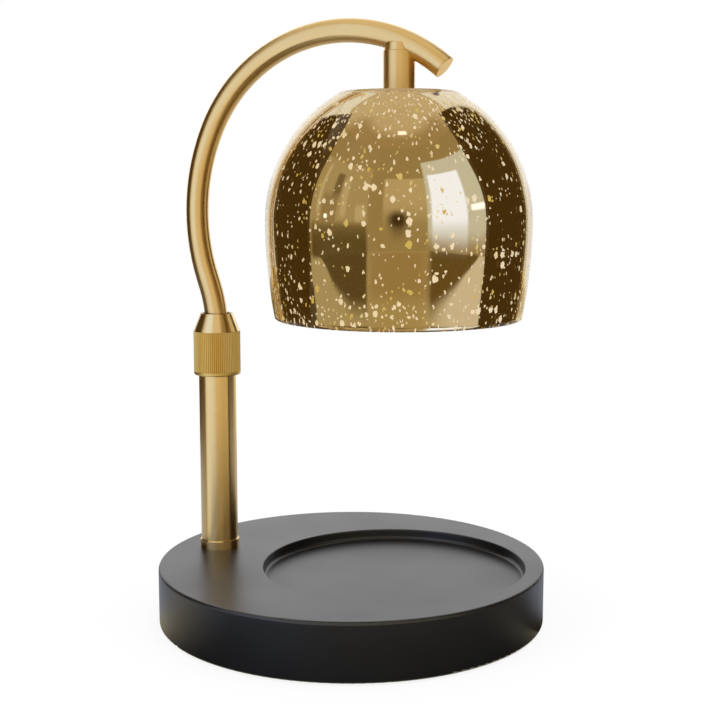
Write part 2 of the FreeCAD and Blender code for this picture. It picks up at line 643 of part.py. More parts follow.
def shade():
    """Blown glass dome with a flat top, hung from the stem through a hole in its crown.

    Two tangent arcs meet at the widest place, and the wall inside is parallel to them. The rim is
    bowed. The gaskets and the disc that carry the glass lie inside the edge of its flat top.
    """
    crown, inner_crown = "(shade_flat_od / 2)", "(shade_crown - glass_wall)"
    flank = "(shade_max_od / 2 - shade_flank)"
    rim = f"({flank} + sqrt(pow(shade_flank; 2) - pow(shade_skirt; 2)))"
    inner_flank = "(shade_flank - glass_wall)"
    rim_in = f"({flank} + sqrt(pow({inner_flank}; 2) - pow(shade_skirt; 2)))"
    lip, belt, hole = f"({LIP_BOW} * ({rim} - {rim_in}))", "(shade_max_od / 2)", "(rod_od / 2 + slip_gap)"
    body = turned("glass_shade", [
        (hole, "shade_crown"), (hole, inner_crown), (FLAT_UNDER, inner_crown, INNER_DOME, -1),
        (f"{belt} - glass_wall", "0", inner_flank, -1), (rim_in, "-shade_skirt", lip, 1),
        (rim, "-shade_skirt", "shade_flank", 1), (belt, "0", DOME, 1), (crown, "shade_crown")])
    round_edges(body, "crown_round", circle_at("shade_crown", crown))
    place(body, LAMP_X, "0", f"{GLASS_TOP} - shade_crown")
    place(ring("top_gasket", "stem_od / 2 - edge_break", ROD_HOLE, "gasket_thickness"),
          LAMP_X, "0", GLASS_TOP)
    disc = f"({FLAT_UNDER} - disc_margin)"
    place(ring("bottom_gasket", f"({disc} - gasket_margin)", ROD_HOLE, "gasket_thickness"),
          LAMP_X, "0", DISC_TOP)
    place(ring("clamp_disc", disc, ROD_HOLE, "disc_thickness", "edge_break"),
          LAMP_X, "0", STRAP_TOP)


def holder_bracket():
    """Bent strap: its web hangs on the threaded rod and its legs hold the lamp holder's flats."""
    body = new_body("holder_bracket")
    half, inside = "(holder_flats / 2 + strap)", "(holder_flats / 2)"
    bend, inner = "strap_bend", "(strap_bend - strap)"
    leg = f"({STRAP_TOP} - {SCREW_Z} + strap_width / 4)"
    strap = draw(new_sketch(body, "YZ_Plane"), [
        (half, f"-{leg}"), (half, f"-{bend}", bend, 1), (f"{half} - {bend}", "0"),
        (f"{bend} - {half}", "0", bend, 1), (f"-{half}", f"-{bend}"), (f"-{half}", f"-{leg}"),
        (f"-{inside}", f"-{leg}"), (f"-{inside}", f"-{bend}", inner, -1), (f"{bend} - {half}", "-strap"),
        (f"{half} - {bend}", "-strap", inner, -1), (inside, f"-{bend}"), (inside, f"-{leg}")])
    padded(body, strap, "strap_width", both_ways=True)
    doc.recompute()
    cut(body, draw_circle(new_sketch(body, "XY_Plane"), ROD_HOLE), both_ways=True)
    screw = draw_circle(new_sketch(body, "XZ_Plane"), "screw_od / 2 + thread_gap", "0",
                        f"{SCREW_Z} - {STRAP_TOP}")
    cut(body, screw, both_ways=True)
    return place(body, LAMP_X, "0", STRAP_TOP)


def stem_fixings():
    """The stem's hollow threaded rod and the nut that clamps bracket, disc and glass to the stem."""
    grip = f"({STEM_TOP} - neck_spigot - slip_gap - {STEM_ROD_FOOT})"
    place(ring("stem_nipple", "rod_od / 2", "rod_bore / 2", grip, "edge_break"), LAMP_X, "0", STEM_ROD_FOOT)
    place(nut("clamp_nut", "stem_nut_height"), LAMP_X, "0", f"{STEM_NUT_TOP} - stem_nut_height")


def lamp_holder():
    """Ceramic twist-lock holder with two flats, a cross hole for its screws and two bent slots."""
    body = new_body("lamp_holder")
    round_r, flat = "(holder_od / 2)", "(holder_flats / 2)"
    side = f"sqrt(pow({round_r}; 2) - pow({flat}; 2))"
    block = draw(new_sketch(body, "XY_Plane"), [
        (side, f"-{flat}", round_r, 1), (side, flat), (f"-{side}", flat, round_r, 1),
        (f"-{side}", f"-{flat}")])
    padded(body, block, "holder_height")
    doc.recompute()
    screw = draw_circle(new_sketch(body, "XZ_Plane"), "screw_od / 2 + thread_gap", "0",
                        f"{SCREW_Z} - {HOLDER_FOOT}")
    cut(body, screw, both_ways=True)
    neck = kidney(new_sketch(body, "XY_Plane"), "pin_od / 2 + slip_gap")
    repeat_round(body, cut(body, neck, "slot_lip", along_normal=True), 2)
    room = kidney(new_sketch(body, "XY_Plane", "slot_lip"), "pin_head_od / 2 + slip_gap + thread_gap")
    repeat_round(body, cut(body, room, "slot_depth - slot_lip", along_normal=True), 2)
    pitch = "pin_pitch / 2"
    entry = draw_circle(new_sketch(body, "XY_Plane"), "pin_head_od / 2 + slip_gap",
                        f"{pitch} * cos(twist_angle * 1 deg)", f"-{pitch} * sin(twist_angle * 1 deg)")
    repeat_round(body, cut(body, entry, "slot_lip", along_normal=True), 2)
    return place(body, LAMP_X, "0", HOLDER_FOOT)


def contact_clips():
    """Two bent contact leaves against the roofs of the lamp holder's slots."""
    clips = []
    for label, turn in (("clip_near", 0), ("clip_far", 180)):
        clip = new_body(label)
        padded(clip, kidney(new_sketch(clip, "XY_Plane"), "pin_od / 2"), "clip_thickness")
        clip.Placement = FreeCAD.Placement(V(0, 0, 0), FreeCAD.Rotation(V(0, 0, 1), turn))
        clips.append(place(clip, LAMP_X, "0", f"{HOLDER_FOOT} + slot_depth - clip_thickness"))
    return pair("contact_clips", *clips)


def bracket_screws():
    """Two pan-head screws through the bracket's legs into the lamp holder's sides."""
    head, seat = "(screw_head_od / 2)", "(holder_flats / 2 + strap)"
    screws = []
    for label, side, turn in (("screw_near", "-1", 90), ("screw_far", "1", -90)):
        screw = turned(label, [
            ("0", "-screw_length"), ("screw_od / 2", "-screw_length"), ("screw_od / 2", "0"), (head, "0"),
            (head, "screw_head / 2", "screw_head", 1), (f"{head} - screw_head / 2", "screw_head"),
            ("0", "screw_head")])
        screw.Placement = FreeCAD.Placement(V(0, 0, 0), FreeCAD.Rotation(V(1, 0, 0), turn))
        screws.append(place(screw, LAMP_X, f"{side} * {seat}", SCREW_Z))
    return pair("bracket_screws", *screws)


def bulb_pins():
    """Two headed pins that hook over the lip of the lamp holder's slots."""
    shank, head, neck = "(pin_od / 2)", "(pin_head_od / 2)", "(2 * slip_gap + slot_lip)"
    pins = []
    for label, side in (("pin_front", "1"), ("pin_back", "-1")):
        pin = turned(label, [
            ("0", "0"), (shank, "0"), (shank, neck), (head, neck),
            (head, f"{neck} + pin_head - edge_break"), (f"{head} - edge_break", f"{neck} + pin_head"),
            ("0", f"{neck} + pin_head")])
        pins.append(place(pin, f"{LAMP_X} + {side} * pin_pitch / 2", "0", BULB_TOP))
    return pair("bulb_pins", *pins)


def bulb():
    """Reflector bulb: cap, bowed reflector, front lens against a step in its rim, and capsule."""
    cap, neck = "(cap_od / 2)", "(cap_od / 2 - reflector_wall)"
    place(turned("bulb_cap", [
        ("0", "-cap_height"), (neck, "-cap_height"), (cap, "reflector_wall - cap_height"),
        (cap, "-edge_break"), (f"{cap} - edge_break", "0"), ("0", "0")]), LAMP_X, "0", BULB_TOP)
    face, step = "(bulb_od / 2)", "(bulb_od / 2 - reflector_wall)"
    roof, rim = "(-cap_height - reflector_wall)", "(bulb_rim - bulb_height)"
    hole, bow = "(capsule_od / 2 + slip_gap)", "reflector_bow"
    place(turned("bulb_reflector", [
        (hole, "-cap_height"), (hole, roof), (f"{neck} - reflector_wall", roof, bow, -1),
        (f"{step} - reflector_wall", rim), (step, rim), (step, "-bulb_height"), (face, "-bulb_height"),
        (face, rim, bow, 1), (neck, "-cap_height")]), LAMP_X, "0", BULB_TOP)
    place(ring("bulb_lens", step, "0", "lens_thickness"), LAMP_X, "0",
          f"{BULB_TOP} + {rim} - lens_thickness")
    tip = "(capsule_od / 2)"
    place(turned("bulb_capsule", [
        ("0", "-capsule_height"), (f"{tip} / 2", "-capsule_height", tip, 1),
        (tip, f"{tip} / 2 - capsule_height"), (tip, "0"), ("0", "0")]),
          LAMP_X, "0", f"{BULB_TOP} - cap_height")


def lamp_lead():
    """The lead along the middle of the tubes, from the lamp holder over the arch into the base.

    It leaves the arch where a small bend, tangent to the arch and to the stem's axis, starts.
    """
    leave = f"(asin(({ARCH_X} - lamp_reach + lead_bend) / (arch_bend - lead_bend)) / 1 deg)"
    route = route_to_arch(f"({ARM_RUN} + {ARM_FOOT} - {LEAD_FOOT})")
    route.bend("arch_bend", f"{route.heading} - {leave}", -1)
    route.bend("lead_bend", f"90 + {leave}", -1)
    route.straight(f"{LEAD_FOOT} + {route.z} - {HOLDER_TOP}")
    return place(tube_along("lamp_lead", route, "lead_od / 2"), POLE_X, "0", LEAD_FOOT)


NODES = (
    "base_disc", "foot_pad", "cord_gland", "pole_foot", "pole_tube", "base_nipple", "nipple_washer",
    "nipple_nut", "collar_bush", "split_collet", "lock_collar", "guide_bush", "arm_tube", "arm_end_plug",
    "arm_end_ferrule", "guide_circlip", "stem_neck", "stem_tube", "top_gasket", "glass_shade",
    "bottom_gasket", "clamp_disc", "holder_bracket", "clamp_nut", "stem_nipple", "lamp_holder",
    "contact_clips", "bracket_screws", "lamp_lead", "bulb_cap", "bulb_pins", "bulb_reflector",
    "bulb_lens", "bulb_capsule")

base_disc()
ring("foot_pad", PAD_R, "0", "pad_thickness", "edge_break")
cord_gland()
pole_foot()
base_fixings()
place(ring("pole_tube", "pole_od / 2", POLE_BORE, "pole_length"), POLE_X, "0", FOOT_TOP)
collar_bush()
split_collet()
lock_collar()
arm_guide()
arm_tube()
arm_end_plug()
stem(arm_envelope())
shade()
holder_bracket()
stem_fixings()
lamp_holder()
contact_clips()
bracket_screws()
bulb_pins()
bulb()
lamp_lead()
doc.recompute()

failed = [piece.Name for piece in doc.Objects if {"Invalid", "Error"} & set(piece.State)]
if failed:
    raise RuntimeError(f"not built: {failed}")
os.makedirs("parts", exist_ok=True)
for node in NODES:
    shape = doc.getObjectsByLabel(node)[0].Shape
    if shape.isNull() or not shape.isValid() or not shape.Solids:
        raise RuntimeError(f"{node} is not a valid solid")
for node in NODES:
    doc.getObjectsByLabel(node)[0].Shape.exportStep(f"parts/{node}.step")
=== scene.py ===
import json
import math
from functools import partial

import bpy
import numpy as np
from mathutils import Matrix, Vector


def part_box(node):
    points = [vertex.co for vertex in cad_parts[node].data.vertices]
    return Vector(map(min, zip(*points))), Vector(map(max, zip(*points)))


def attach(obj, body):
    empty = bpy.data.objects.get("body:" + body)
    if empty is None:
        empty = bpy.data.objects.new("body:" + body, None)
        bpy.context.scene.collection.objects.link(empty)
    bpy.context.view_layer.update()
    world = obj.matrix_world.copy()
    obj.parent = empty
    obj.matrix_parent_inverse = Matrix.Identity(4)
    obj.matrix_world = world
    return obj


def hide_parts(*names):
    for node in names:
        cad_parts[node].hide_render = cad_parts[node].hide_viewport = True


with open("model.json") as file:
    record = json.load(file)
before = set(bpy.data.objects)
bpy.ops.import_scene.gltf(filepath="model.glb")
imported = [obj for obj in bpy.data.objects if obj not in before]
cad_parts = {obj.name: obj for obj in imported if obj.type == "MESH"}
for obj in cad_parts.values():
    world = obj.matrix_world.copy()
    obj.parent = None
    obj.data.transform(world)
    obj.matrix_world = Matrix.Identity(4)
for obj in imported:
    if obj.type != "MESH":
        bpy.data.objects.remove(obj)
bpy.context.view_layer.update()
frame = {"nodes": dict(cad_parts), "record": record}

MM = 0.001


# ---------------------------------------------------------------- colours, nodes and meshes

def linear(hex_colour):
    """An sRGB hex colour as linear red, green, blue and alpha."""
    channels = [int(hex_colour[i:i + 2], 16) / 255 for i in (1, 3, 5)]
    return [c / 12.92 if c <= 0.04045 else ((c + 0.055) / 1.055) ** 2.4 for c in channels] + [1.0]


def node(tree, kind, settings=None, out=0, **links):
    """Adds a node and gives its output out, or the node itself where it has none. settings are its own
    properties. links are its inputs, by name or as _ and a number, as values or as other nodes' outputs."""
    made = tree.nodes.new(kind)
    for name, value in (settings or {}).items():
        setattr(made, name, value)
    for name, value in links.items():
        socket = made.inputs[int(name[1:]) if name[0] == "_" else name.replace("_", " ")]
        if isinstance(value, bpy.types.NodeSocket):
            tree.links.new(value, socket)
        else:
            socket.default_value = value
    return made.outputs[out] if made.outputs else made


def new_material(name):
    """An empty material and its node tree."""
    material = bpy.data.materials.new(name)
    material.use_nodes = True
    material.node_tree.nodes.clear()
    return material, material.node_tree


def finish_material(material, shader):
    """Joins the shader to the material's output."""
    node(material.node_tree, "ShaderNodeOutputMaterial", Surface=shader)
    return material


def object_space(tree, size=(1, 1, 1), place=(0, 0, 0)):
    """Object coordinates from a place given in metres, counted in steps of size millimetres, so that a
    pattern of scale 1 has features of about that size."""
    coords = node(tree, "ShaderNodeTexCoord", out="Object")
    moved = node(tree, "ShaderNodeVectorMath", {"operation": "SUBTRACT"}, _0=coords, _1=place)
    return node(tree, "ShaderNodeVectorMath", {"operation": "DIVIDE"}, _0=moved, _1=[s * MM for s in size])


def make_piece(name, points, faces, body, materials):
    """A smooth mesh object from points in metres, with the given materials. With a body, it rides on that
    body.
    """
    mesh = bpy.data.meshes.new(name)
    mesh.from_pydata(points.reshape(-1, 3).tolist(), [], faces.tolist())
    mesh.polygons.foreach_set("use_smooth", [True] * len(mesh.polygons))
    mesh.update()
    piece = bpy.data.objects.new(name, mesh)
    bpy.context.scene.collection.objects.link(piece)
    for material in materials:
        mesh.materials.append(material)
    if body:
        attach(piece, body)
    return piece


def grid_faces(rows, columns, close_rows=False, close_columns=False):
    """Quads of a grid of points, joined end to end along the closed directions."""
    down = np.arange(rows if close_rows else rows - 1)
    over = np.arange(columns if close_columns else columns - 1)
    r, c = np.meshgrid(down, over, indexing="ij")
    r1, c1 = (r + 1) % rows, (c + 1) % columns
    corners = r * columns + c, r * columns + c1, r1 * columns + c1, r1 * columns + c
    return np.stack(corners, -1).reshape(-1, 4)


def line(start, end, count):
    """Points from start up to, but without, end."""
    steps = np.arange(count)[:, None] / count
    return np.array(start) + (np.array(end) - np.array(start)) * steps


def arc(centre, radius, start, end, count):
    """Points of an arc, angles in degrees, up to but without its end."""
    angle = np.radians(start + (end - start) * np.arange(count) / count)
    return np.stack([centre[0] + radius * np.cos(angle), centre[1] + radius * np.sin(angle)], -1)


def turned(profile, axis_x, steps):
    """Turns a closed profile (radius, height) round the upright line through axis_x: each of its points
    becomes a circle of that radius at that height."""
    angle = 2 * np.pi * np.arange(steps) / steps
    radius, height = profile[:, :1], profile[:, 1:]
    return np.stack([axis_x + radius * np.cos(angle), radius * np.sin(angle),
                     height + np.zeros(steps)], -1)


# ---------------------------------------------------------------- sizes, most of them from the frame

shade_low, shade_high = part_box("glass_shade")
pole_low, pole_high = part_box("pole_tube")
_, collar_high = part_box("lock_collar")
_, arm_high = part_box("arm_tube")
LAMP_X = (shade_low.x + shade_high.x) / 2
POLE_X = (pole_low.x + pole_high.x) / 2

BELT = (shade_high.x - shade_low.x) / 2     # the shade's widest radius
WALL = 2.5 * MM
FLAT = 23.1 * MM            # edge of the shade's flat top before its rounding
CROWN_ROUND = 2 * MM
FLANK = 200 * MM            # radius of the shade's lower wall in section
SKIRT = 37.8 * MM           # rim below the widest place
HOLE = 5.3 * MM             # hole in the shade's flat top
SHADE_STEPS = 256           # points round the shade
RIM_BOW = 0.6               # the rim's bowed radius as a share of its width
FLAT_RADIUS = 50 * MM       # radius at which the shade is unrolled into its flat map
UNROLLED = 400              # mm of the unrolled shade that the flat map takes as 1
RIM_SPECKS = (130, 144)     # mm above the table, from the most extra specks to none
SHOULDER_SPECKS = (188, 206)    # the same, from none to the most

CONE = 7.5 * MM             # height of the collar's cone
CONE_FOOT = (collar_high.z - CONE) / MM     # mm above the table
ARM_RADIUS = 4.75 * MM
ARCH = 64.6 * MM            # radius of the arm's last bend, over the lamp
PAST_ARCH = 23.5 * MM       # from the arch's centre to the lamp's axis
ARCH_CENTRE = (LAMP_X - PAST_ARCH, 0, arm_high.z - ARM_RADIUS - ARCH)


# ---------------------------------------------------------------- finishes

# Settings that many nodes share: a mix of two colours, and a range that starts and ends smoothly.
COLOURS = {"data_type": "RGBA"}
SMOOTH = {"interpolation_type": "SMOOTHSTEP"}


def along_arm(tree):
    """The way that the arm's tube runs, taken as square to the spoke from the arch's centre."""
    spoke = object_space(tree, place=ARCH_CENTRE)
    run = node(tree, "ShaderNodeVectorMath", {"operation": "CROSS_PRODUCT"}, _0=(0, 1, 0), _1=spoke)
    return node(tree, "ShaderNodeVectorTransform",
                {"vector_type": "VECTOR", "convert_from": "OBJECT", "convert_to": "WORLD"}, Vector=run)


def upright(tree):
    """The way that an upright tube runs: straight up."""
    return node(tree, "ShaderNodeCombineXYZ", Z=1.0)


def satin_brass(name, run, rough):
    """Brass-plated steel tube, brushed round its girth and lacquered: silky, with highlights that are drawn
    out along the tube. run gives the way that the tube runs. The brushing is drawn at 0.25 mm, coarser than
    the real 0.05 mm, so that it shows."""
    material, tree = new_material(name)
    brushing = node(tree, "ShaderNodeTexNoise", Vector=object_space(tree, (3.33, 3.33, 0.25)), Scale=1.0,
                    Detail=3.0, Roughness=0.6)
    cloud = node(tree, "ShaderNodeTexNoise", Vector=object_space(tree, (20, 20, 20)), Scale=1.0, Detail=2.0)
    colour = node(tree, "ShaderNodeMix", COLOURS, out=2, _0=cloud, _6=linear("#E2BF80"), _7=linear("#E8C98C"))
    gloss = node(tree, "ShaderNodeMapRange", Value=brushing, From_Min=0.3, From_Max=0.7,
                 To_Min=rough - 0.03, To_Max=rough + 0.03)
    relief = node(tree, "ShaderNodeBump", Height=brushing, Distance=0.0008 * MM)
    shader = node(tree, "ShaderNodeBsdfPrincipled", Base_Color=colour, Metallic=1.0, Roughness=gloss,
                  Anisotropic=0.75, Tangent=run(tree), Normal=relief)
    return finish_material(material, shader)


def knurled_brass():
    """The collar: a matt rolled knurl whose grooves hold darker lacquer, under a finely turned bright cone.
    The lacquer's clouds are 2.5 mm wide, about three grooves."""
    material, tree = new_material("knurled_brass")
    cloud = node(tree, "ShaderNodeTexNoise", Vector=object_space(tree, (2.5, 2.5, 2.5)), Scale=1.0,
                 Detail=3.0)
    height = node(tree, "ShaderNodeSeparateXYZ", out="Z", Vector=object_space(tree))
    cone = node(tree, "ShaderNodeMapRange", Value=height, From_Min=CONE_FOOT - 0.05,
                From_Max=CONE_FOOT + 0.05)
    matt = node(tree, "ShaderNodeMix", COLOURS, out=2, _0=cloud, _6=linear("#DFBC68"), _7=linear("#E6C678"))
    colour = node(tree, "ShaderNodeMix", COLOURS, out=2, _0=cone, _6=matt, _7=linear("#E6CB94"))
    gloss = node(tree, "ShaderNodeMapRange", Value=cone, To_Min=0.46, To_Max=0.22)
    shader = node(tree, "ShaderNodeBsdfPrincipled", Base_Color=colour, Metallic=1.0, Roughness=gloss,
                  Anisotropic=0.4, Tangent=upright(tree))
    return finish_material(material, shader)


def turned_brass():
    """Free-cutting brass off the lathe: yellow, with fine turning marks, drawn 0.17 mm apart where the real
    feed is nearer 0.1 mm, so that they show."""
    material, tree = new_material("turned_brass")
    marks = node(tree, "ShaderNodeTexNoise", Vector=object_space(tree, (20, 20, 0.167)), Scale=1.0,
                 Detail=2.0)
    gloss = node(tree, "ShaderNodeMapRange", Value=marks, From_Min=0.3, From_Max=0.7, To_Min=0.22,
                 To_Max=0.36)
    relief = node(tree, "ShaderNodeBump", Height=marks, Distance=0.01 * MM)
    shader = node(tree, "ShaderNodeBsdfPrincipled", Base_Color=linear("#D9B569"), Metallic=1.0,
                  Roughness=gloss, Normal=relief)
    return finish_material(material, shader)


def zinc_steel():
    """Zinc-plated pressed steel: bluish grey with a cloudy spangle of 2 mm."""
    material, tree = new_material("zinc_steel")
    spangle = node(tree, "ShaderNodeTexNoise", Vector=object_space(tree, (2, 2, 2)), Scale=1.0, Detail=4.0)
    colour = node(tree, "ShaderNodeMix", COLOURS, out=2, _0=spangle, _6=linear("#B4B8BC"),
                  _7=linear("#CDD0D2"))
    gloss = node(tree, "ShaderNodeMapRange", Value=spangle, From_Min=0.3, From_Max=0.7, To_Min=0.25,
                 To_Max=0.45)
    shader = node(tree, "ShaderNodeBsdfPrincipled", Base_Color=colour, Metallic=1.0, Roughness=gloss)
    return finish_material(material, shader)


def lacquered_wood():
    """Turned wood sprayed with satin black lacquer: deep black with soft reflections. The sprayed skin has
    dimples of 0.7 mm, and the grain under it runs along x in lines 1.1 mm apart and 17 mm long."""
    material, tree = new_material("lacquered_wood")
    skin = node(tree, "ShaderNodeTexNoise", Vector=object_space(tree, (0.714, 0.714, 0.714)), Scale=1.0,
                Detail=3.0)
    grain = node(tree, "ShaderNodeTexNoise", Vector=object_space(tree, (16.7, 1.11, 1.11)), Scale=1.0,
                 Detail=3.0)
    cloud = node(tree, "ShaderNodeTexNoise", Vector=object_space(tree, (33.3, 33.3, 33.3)), Scale=1.0,
                 Detail=2.0)
    colour = node(tree, "ShaderNodeMix", COLOURS, out=2, _0=cloud, _6=linear("#131314"), _7=linear("#171718"))
    gloss = node(tree, "ShaderNodeMapRange", Value=cloud, From_Min=0.3, From_Max=0.7, To_Min=0.33,
                 To_Max=0.38)
    dimples = node(tree, "ShaderNodeBump", Height=skin, Distance=0.003 * MM)
    relief = node(tree, "ShaderNodeBump", Height=grain, Distance=0.003 * MM, Normal=dimples)
    shader = node(tree, "ShaderNodeBsdfPrincipled", Base_Color=colour, Roughness=gloss,
                  Specular_IOR_Level=0.70, Normal=relief)
    return finish_material(material, shader)


def matt_polymer(name, dark, light, cell, rough):
    """Closed-cell foam, moulded nylon or silicone, or a braided sleeve: matt and lightly mottled. cell is
    the size in mm of its cells, grain or threads. The foam's is drawn coarser than the real 0.15 mm, so that
    it shows."""
    material, tree = new_material(name)
    cells = node(tree, "ShaderNodeTexNoise", Vector=object_space(tree, (cell, cell, cell)), Scale=1.0,
                 Detail=2.0)
    colour = node(tree, "ShaderNodeMix", COLOURS, out=2, _0=cells, _6=linear(dark), _7=linear(light))
    relief = node(tree, "ShaderNodeBump", Height=cells, Distance=0.05 * MM)
    shader = node(tree, "ShaderNodeBsdfPrincipled", Base_Color=colour, Roughness=rough, Normal=relief)
    return finish_material(material, shader)


def glazed_ceramic():
    """Steatite lamp holder with a thin clear glaze: off-white and glossy, with slow waves of 3 mm."""
    material, tree = new_material("glazed_ceramic")
    cloud = node(tree, "ShaderNodeTexNoise", Vector=object_space(tree, (3.33, 3.33, 3.33)), Scale=1.0,
                 Detail=3.0)
    colour = node(tree, "ShaderNodeMix", COLOURS, out=2, _0=cloud, _6=linear("#E9E4D8"), _7=linear("#F3EFE6"))
    relief = node(tree, "ShaderNodeBump", Height=cloud, Distance=0.03 * MM)
    shader = node(tree, "ShaderNodeBsdfPrincipled", Base_Color=colour, Roughness=0.18, Normal=relief)
    return finish_material(material, shader)


def reflector_coat():
    """Vapour-coated glass reflector: bright silver with a faint hammered skin of 2 mm facets."""
    material, tree = new_material("reflector_coat")
    facets = node(tree, "ShaderNodeTexVoronoi", {"feature": "SMOOTH_F1"}, out="Distance",
                  Vector=object_space(tree, (2.22, 2.22, 2.22)))
    relief = node(tree, "ShaderNodeBump", Height=facets, Distance=0.15 * MM)
    shader = node(tree, "ShaderNodeBsdfPrincipled", Base_Color=linear("#D8D9DA"), Metallic=1.0,
                  Roughness=0.12, Normal=relief)
    return finish_material(material, shader)


def clear_glass():
    """Pressed clear glass of the bulb: sharp reflections, see-through."""
    material, tree = new_material("clear_glass")
    shader = node(tree, "ShaderNodeBsdfPrincipled", Base_Color=linear("#F6FAFA"), Roughness=0.03,
                  Transmission_Weight=1.0, IOR=1.47)
    return finish_material(material, shader)


def clear_shell():
    """The shade's blown glass: clear and fire-polished over the mirror on its inside, with a warm cast to
    its own reflections."""
    material, tree = new_material("clear_shell")
    shader = node(tree, "ShaderNodeBsdfPrincipled", Base_Color=linear("#FDFBF4"), Roughness=0.0,
                  Specular_Tint=linear("#CFB06C"), Transmission_Weight=1.0, IOR=1.5)
    return finish_material(material, shader)


def etched_ring():
    """The inside of the shade's flat top and its hole, bare of silver and etched matt under the gaskets: a
    soft tan through the glass, with light of its own for what a thin wall would let through. The etching is
    drawn at 0.67 mm, coarser than its real 0.1 mm, so that it shows."""
    material, tree = new_material("etched_ring")
    grain = node(tree, "ShaderNodeTexNoise", Vector=object_space(tree, (0.667, 0.667, 0.667)), Scale=1.0,
                 Detail=2.0)
    colour = node(tree, "ShaderNodeMix", COLOURS, out=2, _0=grain, _6=linear("#BFA26A"), _7=linear("#CBB079"))
    shader = node(tree, "ShaderNodeBsdfPrincipled", Base_Color=colour, Roughness=0.7, Emission_Color=colour,
                  Emission_Strength=0.45)
    return finish_material(material, shader)


def specks(tree, cell, stretch, share, small, large, crowd, seed):
    """Irregular spots about cell mm apart on the shade's unrolled surface, stretch times as high as wide.
    share is how many cells hold one, crowd multiplies that by place, and small and large are the spots'
    radii in mm, most of them near small. Each spot is where the distance from its cell's point, on a plane
    that noise has shifted by up to 1.1 mm, is under its radius. Gives the mask and a random number per
    spot."""
    flat = node(tree, "ShaderNodeUVMap", {"uv_map": "unrolled"})
    where = node(tree, "ShaderNodeVectorMath", {"operation": "MULTIPLY_ADD"}, _0=flat,
                 _1=(UNROLLED, UNROLLED / stretch, 1.0), _2=(seed, seed, 0.0))
    ragged = node(tree, "ShaderNodeTexNoise", {"noise_dimensions": "2D"}, out="Color", Vector=where,
                  Scale=0.8, Detail=1.0)
    shifted = node(tree, "ShaderNodeVectorMath", {"operation": "MULTIPLY_ADD"}, _0=ragged, _1=(1.1, 1.1, 0.0),
                   _2=where)
    distance = node(tree, "ShaderNodeTexVoronoi", {"feature": "F1", "voronoi_dimensions": "2D"},
                    Vector=shifted, Scale=1 / cell)
    pick = node(tree, "ShaderNodeSeparateColor", Color=distance.node.outputs["Color"]).node.outputs
    away = node(tree, "ShaderNodeMath", {"operation": "MULTIPLY"}, _0=distance, _1=cell)
    rarity = node(tree, "ShaderNodeMath", {"operation": "POWER"}, _0=pick[1], _1=2.5)
    radius = node(tree, "ShaderNodeMapRange", Value=rarity, To_Min=small, To_Max=large)
    odds = node(tree, "ShaderNodeMath", {"operation": "MULTIPLY"}, _0=crowd, _1=share)
    chosen = node(tree, "ShaderNodeMath", {"operation": "LESS_THAN"}, _0=pick[0], _1=odds)
    inside = node(tree, "ShaderNodeMath", {"operation": "SUBTRACT"}, _0=radius, _1=away)
    spot = node(tree, "ShaderNodeMapRange", SMOOTH, Value=inside, From_Min=-0.06, From_Max=0.10)
    return node(tree, "ShaderNodeMath", {"operation": "MULTIPLY"}, _0=chosen, _1=spot), pick[2]


def gold_silvering():
    """Gold-toned silvering on the inside of the glass, speckled with cream and yellow where it was etched
    away, most of all near the rim and on the shoulder. The specks are given a painted glow of their own, for
    the little light that comes through them, and the blown glass gives slow waves of 33 mm."""
    material, tree = new_material("gold_silvering")
    height = node(tree, "ShaderNodeSeparateXYZ", out="Z", Vector=object_space(tree))
    rim = node(tree, "ShaderNodeMapRange", SMOOTH, Value=height, From_Min=RIM_SPECKS[0],
               From_Max=RIM_SPECKS[1], To_Min=0.9, To_Max=0.0)
    shoulder = node(tree, "ShaderNodeMapRange", SMOOTH, Value=height, From_Min=SHOULDER_SPECKS[0],
                    From_Max=SHOULDER_SPECKS[1], To_Min=0.0, To_Max=0.9)
    patches = node(tree, "ShaderNodeTexNoise", Vector=object_space(tree, (14.286, 14.286, 20)), Scale=1.0,
                   Detail=2.0)
    patchy = node(tree, "ShaderNodeMapRange", Value=patches, From_Min=0.38, From_Max=0.66, To_Min=0.35,
                  To_Max=1.7)
    ends = node(tree, "ShaderNodeMath", {"operation": "ADD"}, _0=rim, _1=shoulder)
    crowd = node(tree, "ShaderNodeMath", {"operation": "ADD"}, _0=patchy, _1=ends)
    big, tint = specks(tree, cell=3.2, stretch=1.3, share=0.34, small=0.40, large=1.20, crowd=crowd, seed=0.0)
    fine, _ = specks(tree, cell=2.0, stretch=1.6, share=0.42, small=0.24, large=0.52, crowd=crowd, seed=40.0)
    speck = node(tree, "ShaderNodeMath", {"operation": "MAXIMUM"}, _0=big, _1=fine)
    yellow = node(tree, "ShaderNodeMapRange", SMOOTH, Value=tint, From_Min=0.6, From_Max=0.95)
    etched = node(tree, "ShaderNodeMix", COLOURS, out=2, _0=yellow, _6=linear("#FFE9BE"),
                  _7=linear("#DCBB58"))
    colour = node(tree, "ShaderNodeMix", COLOURS, out=2, _0=speck, _6=linear("#E4C891"), _7=etched)
    silver = node(tree, "ShaderNodeMath", {"operation": "SUBTRACT"}, _0=1.0, _1=speck)
    gloss = node(tree, "ShaderNodeMapRange", Value=speck, To_Min=0.03, To_Max=0.5)
    # painted glow: each speck gives off light in its own colour, standing in for light that comes through it
    glow = node(tree, "ShaderNodeMath", {"operation": "MULTIPLY"}, _0=speck, _1=0.6)
    wave = node(tree, "ShaderNodeTexNoise", Vector=object_space(tree, (33.3, 33.3, 33.3)), Scale=1.0,
                Detail=2.0)
    relief = node(tree, "ShaderNodeBump", Height=wave, Distance=0.1 * MM)
    shader = node(tree, "ShaderNodeBsdfPrincipled", Base_Color=colour, Metallic=silver, Roughness=gloss,
                  Normal=relief, Emission_Color=etched, Emission_Strength=glow)
    return finish_material(material, shader)


